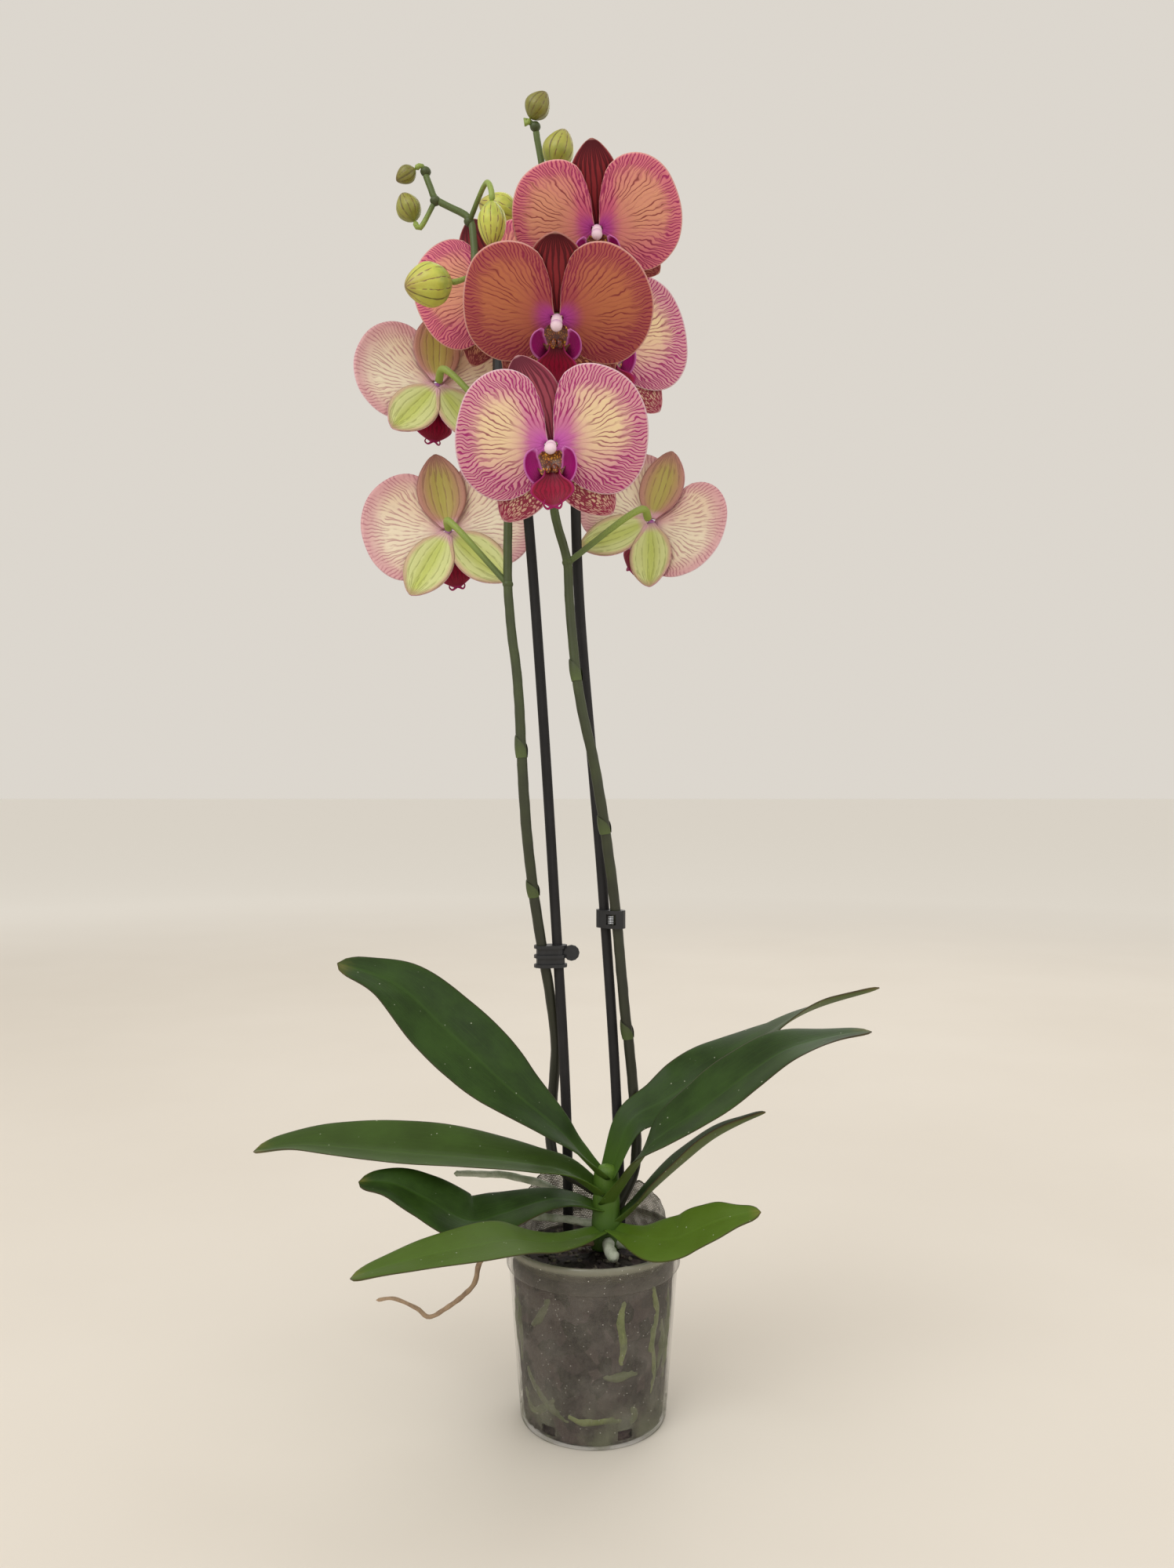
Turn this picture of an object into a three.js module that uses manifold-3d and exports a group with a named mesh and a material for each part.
// A moth orchid in a clear plastic pot: two flower spikes tied to stakes, eight leaves and the roots.
// Units are millimetres, +Z is up, and the origin is the centre of the pot's flat underside. The
// front, where most flowers face, is -Y, and +X is to its right. Everything that grows or stands in
// the pot is placed from the top of the growing medium.

import * as THREE from 'three';
import { mergeVertices } from 'three/addons/utils/BufferGeometryUtils.js';
import Module from 'manifold-3d';

const wasm = await Module();
wasm.setup();

// ---------------------------------------------------------------------------------------------
// Driving dimensions
// ---------------------------------------------------------------------------------------------

const CLEARANCE = 0.3; // gap kept between pieces that touch

const POT = {
  rimRadius: 55,
  baseRadius: 45,
  height: 110,
  wall: 1.2,
  floor: 1.6,
  bandHeight: 17,
  bandStep: 1.6,
  footFillet: 1.5,
  notchCount: 6,
  notchWidth: 9,
  notchHeight: 6,
  notchBottom: 5,
  notchReach: 15,
  notchTurn: -65,
};
const MEDIUM_DROP = 9; // from the rim down to the top of the medium
const LINER = { thickness: 0.8, drop: 10, inset: 4.5 };
const STEM = { x: 8, y: 0, radius: 8.5, taper: 0.85, height: 52 };
const STAKE = { radius: 3.2, footGap: 11.4 }; // the foot stands this far over the pot's floor
const SPIKE = { lowRadius: 3.3, highRadius: 2.3, tipRadius: 1.5, pedicelRadius: 1.5 };
const PEDICEL = { flowerLead: 14, budLead: 4 }; // how long the straight last stretch is
const JOINT = { width: 6, height: 6.5 };
const BRACT = { overSpike: 1, lengthShare: 1.5 };
const LEAF_THICKNESS = 2.2;
const TEPAL = { thickness: 1.2, petalLayer: 2.0, flat: 9, reach: 2.5 };
const HUB = { radius: 4.2, back: 3, front: 0.9 };
const CLIP = { band: 0.9, rib: 2.4, ribHeight: 2, ribCount: 3, height: 14, jaw: 2, jawHeight: 11.2 };
const PADDLE = { radius: 5, thickness: 2.4, out: 5.5, forward: 1, up: 2 };
const WINDOW = { gap: 1, depth: 12, forward: 8 };
const SPRING = { radius: 2, height: 4.5, proud: 0.7 };
const TIES = { left: 179, right: 203, top: 550 }; // heights of the clips over the medium

const FLOWER = {
  petalLength: 52,
  petalWidth: 66,
  dorsalLength: 50,
  dorsalWidth: 31,
  lateralLength: 50,
  lateralWidth: 29,
  dorsalAngle: 90,
  lateralAngle: -52,
  petalAngle: 3,
  reflex: 0.0026, // how far the tepals bend back, per square millimetre past the flat middle
};
const LIP = {
  lobe: { size: [7, 3.4, 18], out: 8, forward: 6, up: -6, spread: 0.35, lean: -0.25, rise: 0.9 },
  middle: { size: [22, 4, 23], forward: 7, up: -17, direction: [0, -0.25, -0.95] },
  column: { size: [7, 7.5, 12], forward: 3.5, up: -1, direction: [0, -0.85, -0.35] },
  bar: { size: [17, 4, 8], forward: 4, up: -6 },
  foot: { radius: 3.4, height: 4 },
};
const DETAIL = {
  pot: 32,
  medium: 28,
  stem: 14,
  root: [6, 14],
  crownRoot: [8, 8],
  driedRoot: [6, 9],
  stake: [10, 80],
  spike: [6, 22],
  flowerPedicel: [5, 14],
  budPedicel: [5, 12],
  joint: [5, 3],
  bract: [6, 3],
  bud: [10, 7],
  lobe: [6, 4],
  middle: [8, 4],
  hub: 8,
  paddle: 12,
  spring: 10,
}; // how many sides each round piece has, and for a tube how far apart its rings are

const MEDIUM_TOP = POT.height - MEDIUM_DROP;
const STAKE_DEPTH = MEDIUM_TOP - POT.floor - STAKE.footGap;

// ---------------------------------------------------------------------------------------------
// Materials
// ---------------------------------------------------------------------------------------------

const material = (color, roughness, metalness = 0, extra = {}) =>
  new THREE.MeshStandardMaterial({ color, roughness, metalness, ...extra });

const MATERIALS = {
  clearPlastic: material(0x8a8078, 0.2, 0, { transparent: true, opacity: 0.45 }),
  medium: material(0x2a2320, 0.95),
  net: material(0x8d7b64, 0.9),
  leaf: material(0x2f5a24, 0.4),
  stem: material(0x4e7a2c, 0.45),
  root: material(0x9aa38c, 0.8),
  wetRoot: material(0x6d8436, 0.5),
  driedRoot: material(0x9c7f60, 0.85),
  spike: material(0x4a4d32, 0.55),
  stake: material(0x201c1f, 0.6),
  clip: material(0x24262a, 0.4),
  spring: material(0xb9bcc0, 0.3, 1),
  bud: material(0x9aa632, 0.45),
  sepal: material(0xb5586a, 0.6),
  petal: material(0xd8868a, 0.6),
  lip: material(0x9c1040, 0.5),
};

// ---------------------------------------------------------------------------------------------
// Solids
// ---------------------------------------------------------------------------------------------

/** Turns a closed geometry into a solid whose faces point out. */
function solid(geometry) {
  const plain = geometry.clone();
  plain.deleteAttribute('normal');
  plain.deleteAttribute('uv');
  const merged = mergeVertices(plain, 1e-4);
  const at = merged.attributes.position.array;
  const index = merged.index.array;
  const kept = [];
  let volume = 0;
  const [a, b, c] = [new THREE.Vector3(), new THREE.Vector3(), new THREE.Vector3()];
  for (let i = 0; i < index.length; i += 3) {
    const [p, q, r] = index.subarray(i, i + 3);
    if (p === q || q === r || r === p) continue;
    a.fromArray(at, 3 * p);
    b.fromArray(at, 3 * q);
    c.fromArray(at, 3 * r);
    volume += a.dot(b.cross(c));
    kept.push(p, q, r);
  }
  if (volume < 0) kept.reverse();
  const mesh = new wasm.Mesh({
    numProp: 3,
    vertProperties: Float32Array.from(at),
    triVerts: Uint32Array.from(kept),
  });
  mesh.merge();
  return new wasm.Manifold(mesh);
}

const join = (...solids) => solids.flat().reduce((whole, next) => whole.add(next));
const cut = (whole, ...tools) => tools.flat().reduce((rest, tool) => rest.subtract(tool), whole);

/** Gives a solid's surface back as a geometry. */
function geometryOf(body) {
  const mesh = body.getMesh();
  const geometry = new THREE.BufferGeometry();
  geometry.setAttribute('position', new THREE.BufferAttribute(mesh.vertProperties, 3));
  geometry.setIndex(new THREE.BufferAttribute(mesh.triVerts, 1));
  geometry.computeVertexNormals();
  return geometry;
}

const moved = (geometry, x, y, z) => geometry.clone().translate(x, y, z);
const vector = (point) => new THREE.Vector3(...point);
const radians = THREE.MathUtils.degToRad;

/** Reads a list of evenly spaced values at t, from 0 to 1, along straight lines between them. */
function along(values, t) {
  const place = t * (values.length - 1);
  const i = Math.min(Math.floor(place), values.length - 2);
  return THREE.MathUtils.lerp(values[i], values[i + 1], place - i);
}

/** Closes a stack of rings, each a loop of points, into one body with a cap at either end. */
function loft(rings) {
  const sides = rings[0].length;
  const points = rings.flat();
  const index = [];
  for (let i = 0; i < rings.length - 1; i += 1) {
    for (let j = 0; j < sides; j += 1) {
      const k = (j + 1) % sides;
      const [p, q] = [i * sides + j, i * sides + k];
      index.push(p, q, q + sides, p, q + sides, p + sides);
    }
  }
  const last = (rings.length - 1) * sides;
  for (let j = 1; j < sides - 1; j += 1) {
    index.push(0, j + 1, j, last, last + j, last + j + 1);
  }
  const geometry = new THREE.BufferGeometry().setFromPoints(points);
  geometry.setIndex(index);
  return geometry;
}

/** A round tube along a smooth line through the points, whose radius follows the given list. */
function tube(points, radii, [sides, stepLength]) {
  const curve = new THREE.CatmullRomCurve3(points.map(vector), false, 'centripetal');
  const steps = Math.max(3, Math.round(curve.getLength() / stepLength));
  const { normals, binormals } = curve.computeFrenetFrames(steps);
  const rings = [];
  for (let i = 0; i <= steps; i += 1) {
    const centre = curve.getPointAt(i / steps);
    const radius = along(radii, i / steps);
    const ring = [];
    for (let j = 0; j < sides; j += 1) {
      const turn = (2 * Math.PI * j) / sides;
      ring.push(
        centre
          .clone()
          .addScaledVector(normals[i], radius * Math.cos(turn))
          .addScaledVector(binormals[i], radius * Math.sin(turn)),
      );
    }
    rings.push(ring);
  }
  return loft(rings);
}

/** Closes two equal grids of points, the front and the back of a thin piece, into one body. */
function sheet(front, back) {
  const rings = front.map((row, i) => [...row, ...back[i].slice().reverse()]);
  const columns = front[0].length;
  const count = 2 * columns;
  const index = [];
  for (let i = 0; i < rings.length - 1; i += 1) {
    for (let j = 0; j < count; j += 1) {
      const k = (j + 1) % count;
      const [p, q] = [i * count + j, i * count + k];
      index.push(p, q, q + count, p, q + count, p + count);
    }
  }
  for (const [start, flip] of [[0, true], [(rings.length - 1) * count, false]]) {
    for (let j = 0; j < columns - 1; j += 1) {
      const [p, q] = [start + j, start + j + 1];
      const [r, s] = [start + count - 1 - j, start + count - 2 - j];
      const quad = flip ? [p, s, q, p, r, s] : [p, q, s, p, s, r];
      index.push(...quad);
    }
  }
  const geometry = new THREE.BufferGeometry().setFromPoints(rings.flat());
  geometry.setIndex(index);
  return geometry;
}

/** An egg-shaped solid of the given three diameters, its long axis turned to a direction. */
function egg([width, depth, length], centre, direction, segments) {
  const geometry = new THREE.SphereGeometry(0.5, ...segments).rotateX(Math.PI / 2);
  geometry.scale(width, depth, length);
  const turn = new THREE.Quaternion();
  turn.setFromUnitVectors(new THREE.Vector3(0, 0, 1), vector(direction).normalize());
  geometry.applyQuaternion(turn);
  return geometry.translate(...centre);
}

/** A solid of revolution about Z, from a profile of radius and height that ends on the axis. */
function turned(profile, segments) {
  const points = profile.map(([radius, height]) => new THREE.Vector2(radius, height));
  return new THREE.LatheGeometry(points, segments).rotateX(Math.PI / 2);
}

// ---------------------------------------------------------------------------------------------
// The pot and what fills it
// ---------------------------------------------------------------------------------------------

/** Radius of the wall's outer face at a height, under the rim band. */
function wallRadius(height) {
  const top = POT.rimRadius - POT.bandStep;
  return THREE.MathUtils.lerp(POT.baseRadius, top, height / POT.height);
}

const innerRadius = (height) => wallRadius(height) - POT.wall;

function potSolid() {
  const bandBottom = POT.height - POT.bandHeight;
  const body = solid(turned([
    [0, 0],
    [POT.baseRadius - POT.footFillet, 0],
    [wallRadius(POT.footFillet), POT.footFillet],
    [wallRadius(bandBottom), bandBottom],
    [wallRadius(bandBottom) + POT.bandStep, bandBottom + POT.bandStep],
    [POT.rimRadius, POT.height],
    [innerRadius(POT.height), POT.height],
    [innerRadius(POT.floor), POT.floor],
    [0, POT.floor],
  ], DETAIL.pot));
  const notches = [];
  for (let i = 0; i < POT.notchCount; i += 1) {
    const notch = new THREE.BoxGeometry(POT.notchReach, POT.notchWidth, POT.notchHeight);
    notch.translate(POT.baseRadius, 0, POT.notchBottom + POT.notchHeight / 2);
    notch.rotateZ(radians(POT.notchTurn + (360 * i) / POT.notchCount));
    notches.push(solid(notch));
  }
  return cut(body, notches);
}

/** A point just inside the wall, at an angle and height, for a root of the given radius. */
function againstWall(angle, height, radius) {
  const reach = innerRadius(height) - CLEARANCE - radius;
  return [reach * Math.cos(radians(angle)), reach * Math.sin(radians(angle)), height];
}

const POT_ROOTS = [
  { name: 'pot_root_1', radius: 2.4, path: [[-68, 88], [-71, 76], [-68, 62], [-70, 48]] },
  { name: 'pot_root_2', radius: 2.2, path: [[-44, 92], [-38, 76], [-42, 58], [-37, 40], [-40, 24]] },
  { name: 'pot_root_3', radius: 2.1, path: [[-112, 19], [-98, 16], [-82, 17], [-66, 15]] },
];

const ROUTE_DEPTH = 101; // the depth of medium that these routes are drawn for

const rootPoints = (root) =>
  root.path.map(([angle, height]) =>
    againstWall(angle, (height * MEDIUM_TOP) / ROUTE_DEPTH, root.radius),
  );

const rootTube = (root, extra) =>
  tube(rootPoints(root), [root.radius + extra, root.radius + extra], DETAIL.root);

/** The torn net sleeve round the back of the medium, open to the front. */
const LINER_EDGE = [10, 20, 27, 29, 20, 17, 24, 34, 36, 33, 26, 10];
const LINER_FROM = 4;
const LINER_TO = 184;

function linerSheet(extra) {
  const thickness = LINER.thickness + 2 * extra;
  const steps = LINER_EDGE.length - 1;
  const front = [];
  const back = [];
  for (let i = 0; i <= steps; i += 1) {
    const share = i / steps;
    const angle = radians(THREE.MathUtils.lerp(LINER_FROM, LINER_TO, share));
    const radius = innerRadius(MEDIUM_TOP) - LINER.inset;
    const [low, high] = [MEDIUM_TOP - LINER.drop - extra, MEDIUM_TOP + along(LINER_EDGE, share)];
    const at = (r, z) => new THREE.Vector3(r * Math.cos(angle), r * Math.sin(angle), z);
    front.push([at(radius - thickness / 2, low), at(radius - thickness / 2, high + extra)]);
    back.push([at(radius + thickness / 2, low), at(radius + thickness / 2, high + extra)]);
  }
  return sheet(front, back);
}

function mediumSolid(tools) {
  const low = POT.floor + CLEARANCE;
  const radius = (height) => innerRadius(height) - CLEARANCE;
  const body = solid(turned([
    [0, low],
    [radius(low), low],
    [radius(MEDIUM_TOP), MEDIUM_TOP],
    [0, MEDIUM_TOP],
  ], DETAIL.medium));
  return cut(body, tools);
}

// ---------------------------------------------------------------------------------------------
// Leaves, stem and roots, all placed from the top of the medium
// ---------------------------------------------------------------------------------------------

/**
 * A leaf: a channelled blade along a smooth line. The tilt turns its upper face to the front, and
 * the fold raises both edges over the midrib.
 */
function leafSheet({ path, width, shape, tilt, fold }) {
  const curve = new THREE.CatmullRomCurve3(path.map(vector), false, 'centripetal');
  const rows = 10;
  const columns = 4;
  const front = [];
  const back = [];
  for (let i = 0; i <= rows; i += 1) {
    const t = i / rows;
    const centre = curve.getPointAt(t);
    const tangent = curve.getTangentAt(t);
    const flatSide = new THREE.Vector3().crossVectors(tangent, new THREE.Vector3(0, 0, 1));
    flatSide.normalize();
    const turn = radians(along(tilt, t)) * -Math.sign(path.at(-1)[0] - path[0][0]);
    const side = flatSide.applyAxisAngle(tangent, -turn);
    const normal = new THREE.Vector3().crossVectors(side, tangent).normalize();
    const half = (width / 2) * along(shape, t);
    const rise = Math.tan(radians(fold));
    const upper = [];
    const lower = [];
    for (let j = 0; j <= columns; j += 1) {
      const v = (2 * j) / columns - 1;
      const middle = centre
        .clone()
        .addScaledVector(side, half * v)
        .addScaledVector(normal, half * Math.abs(v) * rise);
      upper.push(middle.clone().addScaledVector(normal, LEAF_THICKNESS / 2));
      lower.push(middle.clone().addScaledVector(normal, -LEAF_THICKNESS / 2));
    }
    front.push(upper);
    back.push(lower);
  }
  return sheet(front, back);
}

const BROAD = [0.2, 0.34, 0.5, 0.72, 0.9, 1, 1, 0.93, 0.78, 0.52, 0.12];
const SLIM = [0.3, 0.4, 0.6, 0.85, 1, 1, 0.95, 0.8, 0.45, 0.12];

const LEAVES = [
  {
    name: 'leaf_1', width: 48, shape: BROAD, tilt: [10, 30, 38, 40, 40, 36], fold: 12,
    path: [[6, -3, 44], [-6, -8, 58], [-21, -12, 76], [-51, -8, 100], [-73, 0, 118], [-94, 8, 135],
      [-125, 18, 160], [-164, 24, 173]],
  },
  {
    name: 'leaf_2', width: 52, shape: BROAD, tilt: [10, 16, 12, 10, 10, 10], fold: 20,
    path: [[5, -2, 32], [-15, -8, 48], [-36, -10, 54], [-75, -6, 57], [-115, 0, 58], [-155, 8, 59],
      [-186, 14, 59], [-216, 18, 54]],
  },
  {
    name: 'leaf_3', width: 40, shape: BROAD, tilt: [10, 16, 16, 22, 26, 28], fold: 10,
    path: [[5, -1, 23], [-22, -12, 34], [-55, -23, 29], [-73, -30, 27], [-101, -30, 41],
      [-120, -28, 49], [-141, -24, 49]],
  },
  {
    name: 'leaf_4', width: 40, shape: BROAD, tilt: [6, 8, 8, 8, 8, 6], fold: 8,
    path: [[6, -4, 11], [-13, -30, 16], [-30, -50, 22], [-47, -64, 29], [-68, -76, 30],
      [-94, -82, 27], [-119, -84, 21], [-134, -84, 16]],
  },
  {
    name: 'leaf_5', width: 42, shape: SLIM, tilt: [20, 44, 56, 20, -10, -20, -20], fold: 8,
    path: [[11, 1, 44], [24, 4, 78], [44, 8, 89], [71, 12, 105], [97, 16, 120], [137, 22, 143],
      [184, 26, 157]],
  },
  {
    name: 'leaf_6', width: 44, shape: SLIM, tilt: [14, 24, 26, 22, 16, 10, 6], fold: 14,
    path: [[11, -3, 28], [23, -18, 52], [36, -30, 74], [66, -38, 98], [89, -38, 115],
      [113, -36, 130], [141, -32, 137], [166, -28, 140]],
  },
  {
    name: 'leaf_7', width: 26, shape: SLIM, tilt: [0, -4, -6, -8, -8, -8], fold: 24,
    path: [[11, -1, 12], [24, -1, 24], [36, 0, 36], [55, 0, 53], [74, -2, 69], [93, -4, 80],
      [106, -6, 86]],
  },
  {
    name: 'leaf_8', width: 34, shape: SLIM, tilt: [10, 22, 30, 34, 34, 30], fold: 8,
    path: [[12, -4, 12], [31, -34, 19], [46, -50, 24], [60, -58, 33], [74, -64, 41], [94, -68, 47]],
  },
];

const CROWN_ROOTS = [
  {
    name: 'crown_root_1', radii: [3.6, 3.8, 3.4],
    path: [[9, -6, 7], [10, -17, 5.4], [13, -28, 4.3]],
  },
  {
    name: 'crown_root_2', radii: [3.4, 3.8, 3.6],
    path: [[12, -3, 4.2], [32, -4, 4.4], [42, -2, 8]],
  },
  {
    name: 'aerial_root_1', radii: [2.6, 2.4, 2.2, 1.8],
    path: [[3, 4, 25], [-14, 8, 27], [-30, 11, 35], [-54, 12, 41], [-88, 13, 42]],
  },
  {
    name: 'aerial_root_2', radii: [2.5, 2.3, 1.9],
    path: [[3, 2, 14], [-12, 3, 16], [-30, 0, 19], [-44, -3, 20], [-58, -6, 17]],
  },
];

/** The dried root hangs over the left of the rim, so its outer points are measured from the rim. */
const DRIED_ROOT = {
  radii: [2.2, 1.9, 1.7, 1.6, 1.5, 1.4, 1.2, 1],
  inner: [[2, -2, 4], [-16, -8, 6], [-36, -16, 12]],
  past: [[5, -22, 9], [13, -21, 0], [18, -17, -16], [30, -14, -28], [46, -10, -38], [53, -10, -33],
    [68, -10, -27], [78, -10, -28]],
};

const driedRootPoints = () => [
  ...DRIED_ROOT.inner,
  ...DRIED_ROOT.past.map(([past, y, z]) => [-POT.rimRadius - past, y, z]),
];

// ---------------------------------------------------------------------------------------------
// Stakes, spikes, buds and clips
// ---------------------------------------------------------------------------------------------

const ROUTE_RADII = 6.5; // a stake's and a spike's radius together, as these routes are drawn
const STAND_OFF = STAKE.radius + SPIKE.lowRadius - ROUTE_RADII;
const standOff = (route) => route.map(([x, y, z]) => [x, y + STAND_OFF, z]);

const STAKES = {
  left: standOff([
    [-16.5, 19, -STAKE_DEPTH], [-16.5, 19, 60], [-25, 16, 223], [-37, 12, 407], [-50, 10, 561],
  ]),
  right: standOff([
    [18, 18, -STAKE_DEPTH], [16, 18, 60], [6, 15, 223], [-9, 11, 407], [-12, 10, 500],
  ]),
};

const SPIKES = {
  left: [[4, 6, 32], [-8, 9.5, 38], [-22, 11.5, 47], [-27, 19, 60], [-26, 27, 86], [-24, 26, 120], [-27, 21, 150],
    [-31.4, 15.4, 178], [-38, 8, 224], [-42, 2, 265], [-44, 0, 298], [-47, 0, 352], [-51, 0, 385],
    [-53, 0, 412], [-53, 1, 456], [-54, 4, 502], [-57.4, 7.5, 550], [-70, 3, 576], [-73, -4, 603],
    [-74, -2, 623], [-77, 0, 639], [-91, 0, 647], [-98, 0, 651], [-101, 0, 658], [-105, 0, 669]],
  right: [[11, 5, 20], [19, 9.5, 29], [26.5, 14, 46], [25.5, 17, 92], [22.5, 14, 124], [20, 12.5, 145],
    [14.6, 9.4, 203], [9, 4, 248], [1, -2, 298], [-9, -4, 345], [-15, -2, 404], [-16, -2, 425],
    [-24, 0, 457], [-27, 3, 520], [-32, 6, 579], [-36, 7, 629], [-32, 6, 665], [-32, 5, 674],
    [-35, 2, 690], [-36, 0, 697]],
};

/** Small leaf scales that wrap the spikes at their joints: which spike, how far up it, and length. */
const BRACTS = [
  { spike: 'left', at: 0.31, length: 9 },
  { spike: 'left', at: 0.44, length: 11 },
  { spike: 'right', at: 0.17, length: 11 },
  { spike: 'right', at: 0.36, length: 9 },
  { spike: 'right', at: 0.5, length: 11 },
];

const BUDS = [
  {
    name: 'bud_1', spike: 'left', size: [26, 27, 31], centre: [-99, -26, 587], axis: [-0.8, -0.5, -0.3],
    from: [-72, -4, 603],
  },
  {
    name: 'bud_2', spike: 'left', size: [19, 17, 28], centre: [-60, -36, 618], axis: [0, 0, -1],
    from: [-77, 0, 637], over: [[-64, -26, 648]],
  },
  {
    name: 'bud_3', spike: 'left', size: [16, 16, 19], centre: [-115, 2, 647], axis: [-0.4, 0, 0.9],
    from: [-98, 0, 650], over: [[-108, 2, 634]],
  },
  {
    name: 'bud_4', spike: 'left', size: [11, 11, 14], centre: [-116, -2, 665], axis: [-0.8, 0, -0.5],
    from: [-104, 0, 668],
  },
  {
    name: 'bud_5', spike: 'right', size: [22, 22, 27], centre: [-60, 20, 654], axis: [-0.8, 0, 0.3],
    from: [-35.5, 7, 638], over: [[-41, 16, 643]],
  },
  {
    name: 'bud_6', spike: 'right', size: [20, 20, 24], centre: [-21, -8, 678], axis: [0.3, -0.1, 0.9],
    from: [-32, 5.5, 667],
  },
  {
    name: 'bud_7', spike: 'right', size: [16, 16, 18], centre: [-34, -4, 707], axis: [0.5, -0.2, 0.7],
    from: [-36, 0, 696], over: [[-42, -1, 700]],
  },
];

/** Flowers: the middle, which way they face (turn, nod and roll in degrees) and their spike. */
const FLOWERS = [
  {
    name: 'flower_a', spike: 'right', from: [-35, 7, 612], centre: [2, -37, 616],
    turn: -2, nod: 42, roll: -3, size: 0.93, lateral: -40,
  },
  {
    name: 'flower_b', spike: 'right', from: [-33.5, 6.3, 592], over: [[-28, -18, 593]], centre: [-21, -54, 557],
    turn: -4, nod: 48, roll: 3, size: 1.02,
  },
  {
    name: 'flower_c', spike: 'left', from: [-53, 2, 470], centre: [-24, -64, 480],
    turn: -4, nod: 18, roll: -3, size: 1.03, dorsal: 108,
  },
  {
    name: 'flower_d', spike: 'right', from: [-25.5, 1.5, 488], centre: [6, -9, 556],
    turn: 14, nod: 5, roll: -10, size: 1.04,
  },
  {
    name: 'flower_e', spike: 'left', from: [-55.5, 6, 532], over: [[-55, 24, 552]], centre: [-61, 13, 599],
    turn: 8, nod: 6, roll: -20, size: 0.95,
  },
  {
    name: 'flower_f', spike: 'left', from: [-54.5, 4.5, 508], centre: [-100, 27, 545],
    turn: 200, nod: 16, roll: -2, size: 1,
  },
  {
    name: 'flower_g', spike: 'left', from: [-53, 0, 412], centre: [-93, 28, 451],
    turn: 186, nod: 10, roll: 10, size: 1.02,
  },
  {
    name: 'flower_h', spike: 'right', from: [-16, -2, 425], centre: [36, 18, 455],
    turn: 160, nod: 14, roll: -32, size: 0.94, dorsal: 74,
  },
];

const stakeTube = (side, extra = 0) => {
  const radius = STAKE.radius + extra;
  const [foot, ...rest] = STAKES[side];
  return tube([[foot[0], foot[1], foot[2] - extra], ...rest], [radius, radius], DETAIL.stake);
};

const SPIKE_RADII = [
  SPIKE.lowRadius, SPIKE.lowRadius, SPIKE.lowRadius, SPIKE.highRadius, SPIKE.highRadius,
  SPIKE.tipRadius,
];

const spikeTube = (side, extra = 0) =>
  tube(SPIKES[side], SPIKE_RADII.map((radius) => radius + extra), DETAIL.spike);

/** The turn that takes a flower's own axes, X right, Z up and -Y forward, to where it faces. */
function facing({ turn, nod, roll }) {
  return new THREE.Euler(radians(nod), radians(roll), radians(turn), 'ZXY');
}

/** The pedicel of a flower: from its joint on the spike, square on to the back of its hub. */
function flowerPedicel(flower) {
  const back = new THREE.Vector3(0, 1, 0).applyEuler(facing(flower));
  const centre = vector(flower.centre);
  const reach = (length) => centre.clone().addScaledVector(back, length).toArray();
  const lead = [reach(HUB.back + PEDICEL.flowerLead), reach(HUB.back + CLEARANCE)];
  const path = [flower.from, ...(flower.over ?? []), ...lead];
  const radii = [1, 0.9, 1.3].map((share) => SPIKE.pedicelRadius * share);
  return tube(path, radii, DETAIL.flowerPedicel);
}

/** The pedicel of a bud: from its joint on the spike to the bud's base, along its axis. */
function budPedicel(bud) {
  const axis = vector(bud.axis).normalize();
  const base = vector(bud.centre).addScaledVector(axis, -bud.size[2] / 2 - CLEARANCE);
  const lead = base.clone().addScaledVector(axis, -PEDICEL.budLead);
  const path = [bud.from, ...(bud.over ?? []), lead.toArray(), base.toArray()];
  const radii = [1, 1, 1.2].map((share) => SPIKE.pedicelRadius * share);
  return tube(path, radii, DETAIL.budPedicel);
}

function bract({ spike, at, length }) {
  const curve = new THREE.CatmullRomCurve3(SPIKES[spike].map(vector), false, 'centripetal');
  const centre = curve.getPointAt(at);
  const wide = 2 * (along(SPIKE_RADII, at) + BRACT.overSpike);
  const size = [wide, wide, length * BRACT.lengthShare];
  return egg(size, centre.toArray(), curve.getTangentAt(at).toArray(), DETAIL.bract);
}

/** The swollen joint that a pedicel grows from. */
const joint = ({ from }) =>
  egg([JOINT.width, JOINT.width, JOINT.height], from, [0, 0, 1], DETAIL.joint);

function spikeSolid(side) {
  const mine = (piece) => piece.spike === side;
  return join(
    solid(spikeTube(side)),
    [...FLOWERS, ...BUDS].filter(mine).map((piece) => solid(joint(piece))),
    FLOWERS.filter(mine).map((flower) => solid(flowerPedicel(flower))),
    BUDS.filter(mine).map((bud) => solid(budPedicel(bud))),
    BRACTS.filter(mine).map((scale) => solid(bract(scale))),
  );
}

/** Where a stake and its spike stand at a height, and the outline that goes round both. */
function pairAt(side, height) {
  const find = (points) => {
    const curve = new THREE.CatmullRomCurve3(points.map(vector), false, 'centripetal');
    let best = curve.getPoint(0);
    for (let i = 0; i <= 400; i += 1) {
      const point = curve.getPoint(i / 400);
      if (Math.abs(point.z - height) < Math.abs(best.z - height)) best = point;
    }
    return best;
  };
  return { stake: find(STAKES[side]), spike: find(SPIKES[side]) };
}

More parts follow.
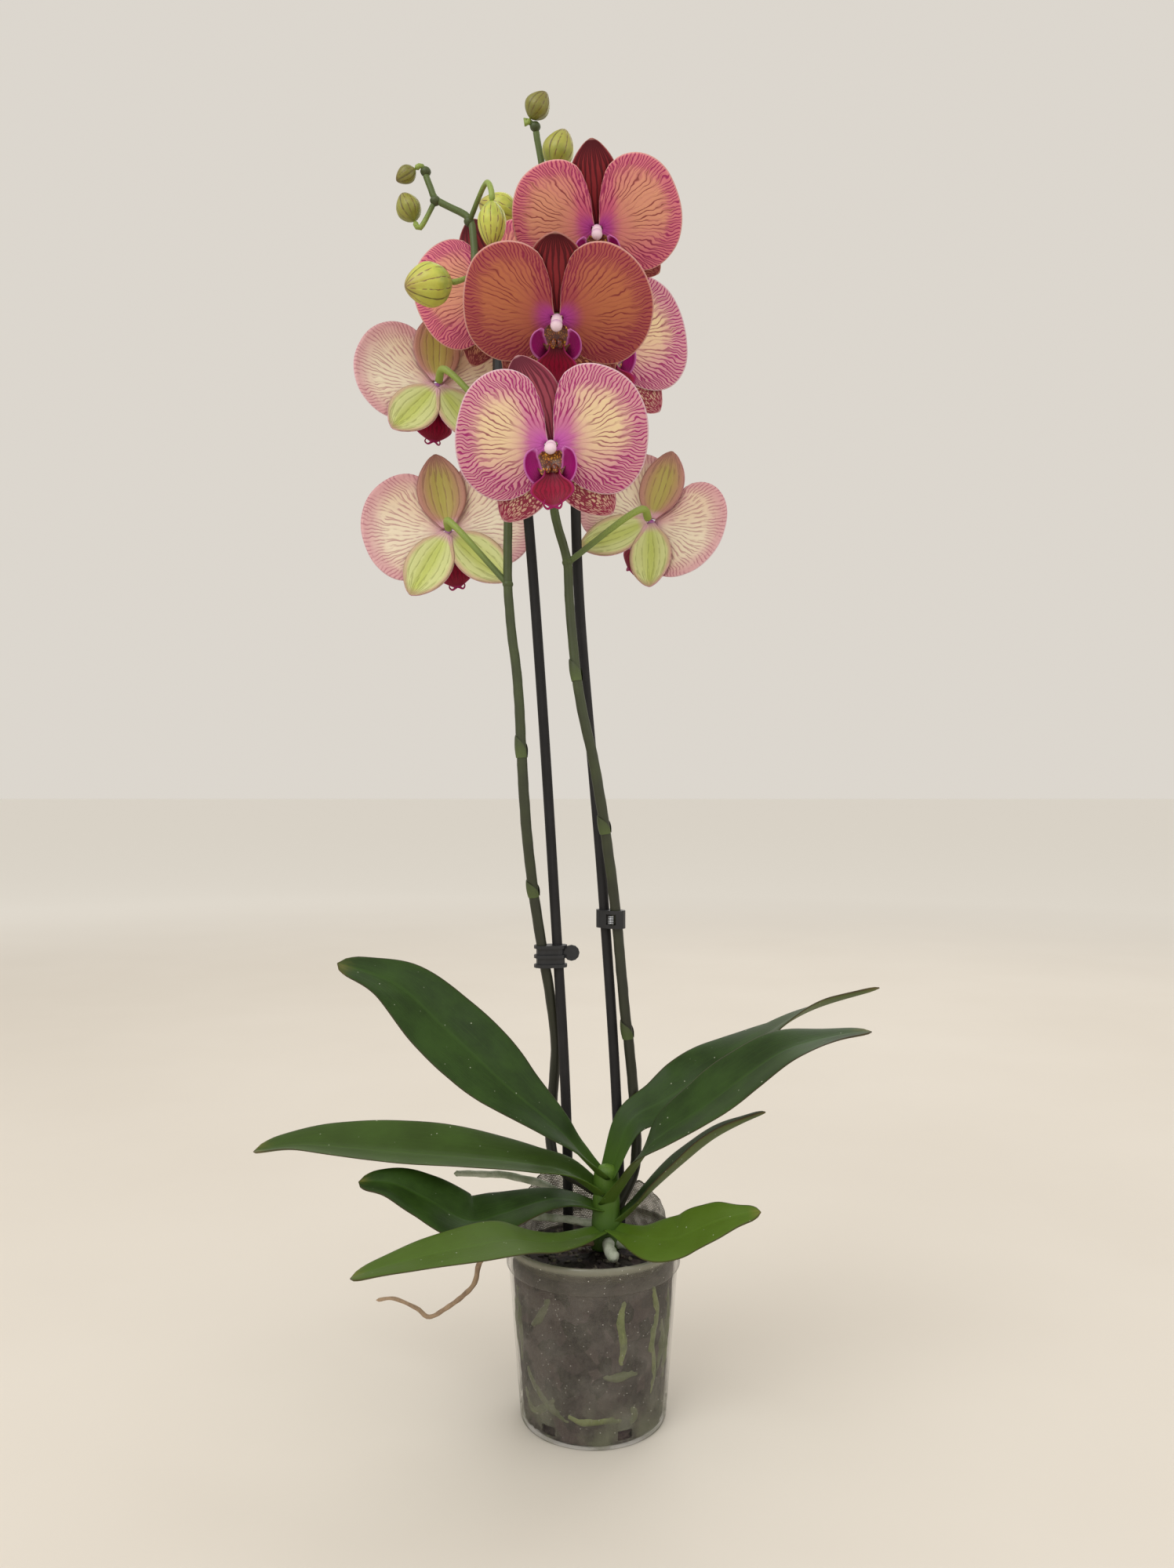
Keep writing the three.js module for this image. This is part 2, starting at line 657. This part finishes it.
/** A rounded band round the stake and the spike, grown by a wall, between two heights. */
function bandAround({ stake, spike }, wall, low, high) {
  const radius = SPIKE.lowRadius + CLEARANCE + wall;
  const angle = Math.atan2(spike.y - stake.y, spike.x - stake.x);
  const outline = new THREE.Shape();
  outline.absarc(spike.x, spike.y, radius, angle - Math.PI / 2, angle + Math.PI / 2, false);
  outline.absarc(stake.x, stake.y, radius, angle + Math.PI / 2, angle + 1.5 * Math.PI, false);
  const settings = { depth: high - low, bevelEnabled: false, curveSegments: 3 };
  return new THREE.ExtrudeGeometry(outline, settings).translate(0, 0, low);
}

/** Room for the stake and the spike through a clip. */
const passages = (side) => [
  solid(stakeTube(side, CLEARANCE)),
  solid(spikeTube(side, CLEARANCE)),
];

function ringClip(side, height) {
  const pair = pairAt(side, height);
  const low = height - CLIP.height / 2;
  const parts = [solid(bandAround(pair, CLIP.band, low, low + CLIP.height))];
  for (let i = 0; i < CLIP.ribCount; i += 1) {
    const at = low + ((CLIP.height - CLIP.ribHeight) * i) / (CLIP.ribCount - 1);
    parts.push(solid(bandAround(pair, CLIP.rib, at, at + CLIP.ribHeight)));
  }
  const paddle = new THREE.CylinderGeometry(
    PADDLE.radius, PADDLE.radius, PADDLE.thickness, DETAIL.paddle,
  );
  const out = STAKE.radius + PADDLE.out;
  paddle.translate(pair.stake.x + out, pair.stake.y - PADDLE.forward, height + PADDLE.up);
  parts.push(solid(paddle));
  return cut(join(parts), passages(side));
}

function jawClip(side, height) {
  const pair = pairAt(side, height);
  const low = height - CLIP.jawHeight / 2;
  const ring = solid(bandAround(pair, CLIP.jaw, low, low + CLIP.jawHeight));
  const middle = pair.stake.clone().add(pair.spike).multiplyScalar(0.5);
  const window = solid(moved(
    new THREE.BoxGeometry(
      2 * (SPRING.radius + WINDOW.gap), WINDOW.depth, SPRING.height + 2 * WINDOW.gap,
    ),
    middle.x, middle.y - WINDOW.forward, height,
  ));
  return cut(ring, [...passages(side), window]);
}

/** The spring sits in the window at the front of a jaw clip. */
function spring(side, height) {
  const pair = pairAt(side, height);
  const middle = pair.stake.clone().add(pair.spike).multiplyScalar(0.5);
  const nearest = Math.min(pair.stake.y, pair.spike.y) - SPIKE.lowRadius;
  const front = nearest - SPRING.radius - 2 * CLEARANCE;
  const coil = new THREE.CylinderGeometry(
    SPRING.radius, SPRING.radius, SPRING.height + 2 * SPRING.proud, DETAIL.spring,
  );
  return coil.rotateX(Math.PI / 2).translate(middle.x, front, height);
}

// ---------------------------------------------------------------------------------------------
// Flowers: X right, Z up and -Y forward, with the middle of the flower at the origin
// ---------------------------------------------------------------------------------------------

const ROUND = { outline: [0.16, 0.74, 1, 0.98, 0.66], columns: 4, bulge: 0.34 };
const OVAL = { outline: [0.26, 0.78, 1, 0.88, 0.4], columns: 2, bulge: 0.12 };

/** How far back the flower's face lies at a distance from its middle. */
function setBack(x, z) {
  const past = Math.max(0, Math.hypot(x, z) - TEPAL.flat);
  return FLOWER.reflex * past * past;
}

/** One sepal or petal: an outline along a direction in the flower's face, given a thickness. */
function tepal({ angle, length, width, shape, layer }) {
  const direction = [Math.cos(radians(angle)), Math.sin(radians(angle))];
  const { outline, columns, bulge } = shape;
  const rows = outline.length - 1;
  const grid = (offset) => {
    const lines = [];
    for (let i = 0; i <= rows; i += 1) {
      const share = i / rows;
      const reach = THREE.MathUtils.lerp(TEPAL.reach, length, share);
      const line = [];
      for (let j = 0; j <= columns; j += 1) {
        const v = (2 * j) / columns - 1;
        const round = reach - bulge * length * v * v * share * share;
        const out = (width / 2) * outline[i] * v;
        const x = direction[0] * round - direction[1] * out;
        const z = direction[1] * round + direction[0] * out;
        line.push(new THREE.Vector3(x, setBack(x, z) - layer + offset, z));
      }
      lines.push(line);
    }
    return lines;
  };
  return solid(sheet(grid(-TEPAL.thickness / 2), grid(TEPAL.thickness / 2)));
}

/** The flat disc that a whorl grows from, between two distances in front of the middle. */
function hub(radius, from, to) {
  const disc = new THREE.CylinderGeometry(radius, radius, to - from, DETAIL.hub).rotateY(radians(9));
  return solid(disc.translate(0, -(from + to) / 2, 0));
}

function sepalsSolid(flower) {
  const lateral = { length: FLOWER.lateralLength, width: FLOWER.lateralWidth };
  const angle = flower.lateral ?? FLOWER.lateralAngle;
  const dorsal = { length: FLOWER.dorsalLength, width: FLOWER.dorsalWidth };
  return join(
    tepal({ ...dorsal, angle: flower.dorsal ?? FLOWER.dorsalAngle, shape: OVAL, layer: 0 }),
    tepal({ ...lateral, angle, shape: OVAL, layer: 0 }),
    tepal({ ...lateral, angle: 180 - angle, shape: OVAL, layer: 0 }),
    hub(HUB.radius, -HUB.back, HUB.front),
  );
}

const PETAL_FRONT = TEPAL.petalLayer + HUB.front;

function petalsSolid() {
  const petal = {
    length: FLOWER.petalLength, width: FLOWER.petalWidth, shape: ROUND, layer: TEPAL.petalLayer,
  };
  return join(
    tepal({ ...petal, angle: FLOWER.petalAngle }),
    tepal({ ...petal, angle: 180 - FLOWER.petalAngle }),
    hub(HUB.radius, HUB.front + CLEARANCE, PETAL_FRONT),
  );
}

function lipSolid() {
  const front = PETAL_FRONT + CLEARANCE;
  const at = ({ forward, up }) => [0, -front - forward, up];
  const { lobe, middle, column, bar, foot } = LIP;
  const lobes = [-1, 1].map((side) => solid(egg(
    lobe.size, [side * lobe.out, -front - lobe.forward, lobe.up],
    [side * lobe.spread, lobe.lean, lobe.rise], DETAIL.lobe,
  )));
  const whole = join(
    lobes,
    solid(egg(middle.size, at(middle), middle.direction, DETAIL.middle)),
    solid(egg(column.size, at(column), column.direction, DETAIL.lobe)),
    solid(new THREE.BoxGeometry(...bar.size).translate(...at(bar))),
    hub(foot.radius, front, front + foot.height),
  );
  const behind = new THREE.BoxGeometry(80, 40, 80).translate(0, 20 - front, 0);
  return cut(whole, solid(behind));
}

// ---------------------------------------------------------------------------------------------
// Assembly
// ---------------------------------------------------------------------------------------------

const orchid = new THREE.Group();
const plant = new THREE.Group();
plant.position.z = MEDIUM_TOP;
orchid.add(plant);

function place(parent, name, body, look) {
  const mesh = new THREE.Mesh(geometryOf(body), MATERIALS[look]);
  mesh.name = name;
  parent.add(mesh);
  return mesh;
}

const fromMedium = (body) => body.translate([0, 0, MEDIUM_TOP]);
const stemAt = (radius, low, high) => {
  const bar = new THREE.CylinderGeometry(radius * STEM.taper, radius, high - low, DETAIL.stem);
  return solid(bar.rotateX(Math.PI / 2).translate(STEM.x, STEM.y, (high + low) / 2));
};

place(orchid, 'pot', potSolid(), 'clearPlastic');
place(orchid, 'net_liner', solid(linerSheet(0)), 'net');
place(orchid, 'growing_medium', mediumSolid([
  solid(linerSheet(CLEARANCE)),
  ...POT_ROOTS.map((root) => solid(rootTube(root, CLEARANCE))),
  ...['left', 'right'].map((side) => fromMedium(solid(stakeTube(side, CLEARANCE)))),
]), 'medium');
for (const root of POT_ROOTS) {
  place(orchid, root.name, solid(rootTube(root, 0)), 'wetRoot');
}

place(plant, 'stem', stemAt(STEM.radius, CLEARANCE, STEM.height), 'stem');
const stemRoom = stemAt(STEM.radius + CLEARANCE, -5, STEM.height + CLEARANCE);
for (const leaf of LEAVES) {
  place(plant, leaf.name, cut(solid(leafSheet(leaf)), stemRoom), 'leaf');
}
for (const root of CROWN_ROOTS) {
  place(plant, root.name, cut(solid(tube(root.path, root.radii, DETAIL.crownRoot)), stemRoom), 'root');
}
const dried = solid(tube(driedRootPoints(), DRIED_ROOT.radii, DETAIL.driedRoot));
place(plant, 'dried_root', cut(dried, stemRoom), 'driedRoot');

for (const side of ['left', 'right']) {
  place(plant, `${side}_stake`, solid(stakeTube(side)), 'stake');
  place(plant, `${side}_spike`, cut(spikeSolid(side), stemRoom), 'spike');
}

place(plant, 'left_clip', ringClip('left', TIES.left), 'clip');
place(plant, 'right_clip', jawClip('right', TIES.right), 'clip');
place(plant, 'top_clip', jawClip('left', TIES.top), 'clip');
place(plant, 'right_clip_spring', solid(spring('right', TIES.right)), 'spring');
place(plant, 'top_clip_spring', solid(spring('left', TIES.top)), 'spring');

for (const bud of BUDS) {
  place(plant, bud.name, solid(egg(bud.size, bud.centre, bud.axis, DETAIL.bud)), 'bud');
}

for (const flower of FLOWERS) {
  const whole = new THREE.Group();
  whole.position.set(...flower.centre);
  whole.rotation.copy(facing(flower));
  plant.add(whole);
  const grown = (body) => body.scale([flower.size, 1, flower.size]);
  place(whole, `${flower.name}_sepals`, grown(sepalsSolid(flower)), 'sepal');
  place(whole, `${flower.name}_petals`, grown(petalsSolid()), 'petal');
  place(whole, `${flower.name}_lip`, grown(lipSolid()), 'lip');
}

export default orchid;
